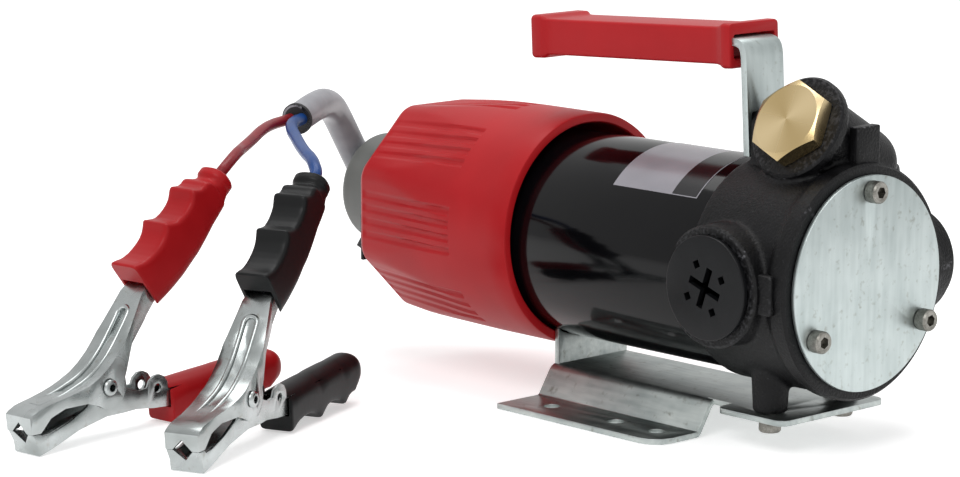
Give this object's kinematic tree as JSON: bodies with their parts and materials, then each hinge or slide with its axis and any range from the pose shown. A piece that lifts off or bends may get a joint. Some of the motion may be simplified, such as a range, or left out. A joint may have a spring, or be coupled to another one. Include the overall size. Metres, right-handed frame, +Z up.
{
  "type": "transfer pump",
  "caption": "Portable direct-current vane transfer pump with carrying handle, folded base and short supply lead ending in battery clamps.",
  "frame": {"origin": "bottom centre of the pump's box without its free supply lead: on the floor, midway along its length and midway between the two port plugs, so the shaft lies 2.25 mm to the near side", "axes": "+X along the motor shaft towards the front plate, +Z up, the port nearer the viewer on -Y"},
  "size_m": [0.3006, 0.2947, 0.1586],
  "materials": {
    "cast_black": "black painted aluminium casting, fine grain, edges worn grey",
    "gloss_black": "gloss black enamel on steel tube",
    "zinc": "bright bluish zinc plate with faint drawing streaks",
    "red_plastic": "fine-grained red moulding",
    "grey_plastic": "smooth mid-grey moulding",
    "black_plastic": "satin black moulding",
    "brass": "machined",
    "steel": "plated, lightly scratched",
    "iron": "sintered or stacked iron",
    "ferrite": "dull ceramic magnet",
    "copper": "lacquered copper",
    "carbon": "dull graphite",
    "rubber": "soft black rubber",
    "resin": "brown vane resin",
    "sheath": "light grey cable sheath",
    "red_wire": "red wire insulation",
    "blue_wire": "blue wire insulation",
    "red_grip": "soft glossy vinyl grip",
    "black_grip": "soft glossy vinyl grip"
  },
  "bodies": {
    "pump": {"pump_head": "cast_black", "front_plate": "zinc", "plate_seal_ring": "rubber", "shaft_seal": "rubber", "front_bearing": "steel", "rear_bearing": "steel", "bypass_plug": "brass", "bypass_spring": "steel", "port_plug_far": "black_plastic", "port_plug_near": "black_plastic", "motor_tube": "gloss_black", "field_magnet_far": "ferrite", "field_magnet_near": "ferrite", "brush_far": "carbon", "brush_near": "carbon", "brush_holder": "black_plastic", "rear_end_bell": "cast_black", "rear_cover": "red_plastic", "end_cap": "grey_plastic", "cord_elbow": "rubber", "switch_body": "black_plastic", "handle_strap": "zinc", "handle_grip": "red_plastic", "base_bracket": "zinc", "base_screw_near": "steel", "base_screw_far": "steel", "cord_sheath": "sheath", "lead_red": "red_wire", "lead_blue": "blue_wire", "plate_screw_1": "steel", "plate_screw_2": "steel", "plate_screw_3": "steel", "strap_screw_1": "steel", "strap_screw_2": "steel", "red_clamp_lower_jaw": "steel", "red_clamp_pivot_pin": "steel", "red_clamp_spring": "steel", "red_clamp_lower_grip": "red_grip", "black_clamp_lower_jaw": "steel", "black_clamp_pivot_pin": "steel", "black_clamp_spring": "steel", "black_clamp_lower_grip": "black_grip"},
    "rotor": {"motor_shaft": "steel", "pump_rotor": "iron", "armature_core": "iron", "armature_winding": "copper", "commutator": "copper", "rotor_vane_1": "resin", "rotor_vane_2": "resin", "rotor_vane_3": "resin", "rotor_vane_4": "resin", "rotor_vane_5": "resin"},
    "valve": {"bypass_poppet": "brass"},
    "rocker": {"switch_rocker": "black_plastic"},
    "red_jaw": {"red_clamp_upper_jaw": "steel", "red_clamp_upper_grip": "red_grip"},
    "black_jaw": {"black_clamp_upper_jaw": "steel", "black_clamp_upper_grip": "black_grip"}
  },
  "joints": [
    {"name": "rotor_spin", "type": "hinge", "parent": "pump", "child": "rotor", "pos_m": [0, -0.00225, 0.065], "axis": [1, 0, 0], "continuous": true},
    {"name": "bypass_lift", "type": "slide", "parent": "pump", "child": "valve", "axis": [0, -0.866, 0.5], "range_m": [0, 0.003], "stiffness_N_per_m": 5000, "springref_m": -0.0045, "deforming": ["bypass_spring"]},
    {"name": "switch_rock", "type": "hinge", "parent": "pump", "child": "rocker", "pos_m": [-0.10795, -0.03545, 0.0555], "axis": [0, -1, 0], "range_deg": [0, 26]},
    {"name": "red_clamp_open", "type": "hinge", "parent": "pump", "child": "red_jaw", "pos_m": [-0.07985, -0.20094, 0.021], "axis": [-0.9945, -0.1045, 0], "range_deg": [0, 34], "stiffness_Nm_per_rad": 1.2, "springref_deg": -57.3, "deforming": ["red_clamp_spring"]},
    {"name": "black_clamp_open", "type": "hinge", "parent": "pump", "child": "black_jaw", "pos_m": [-0.02671, -0.17597, 0.021], "axis": [-0.9239, -0.3827, 0], "range_deg": [0, 34], "stiffness_Nm_per_rad": 1.2, "springref_deg": -57.3, "deforming": ["black_clamp_spring"]}
  ]
}
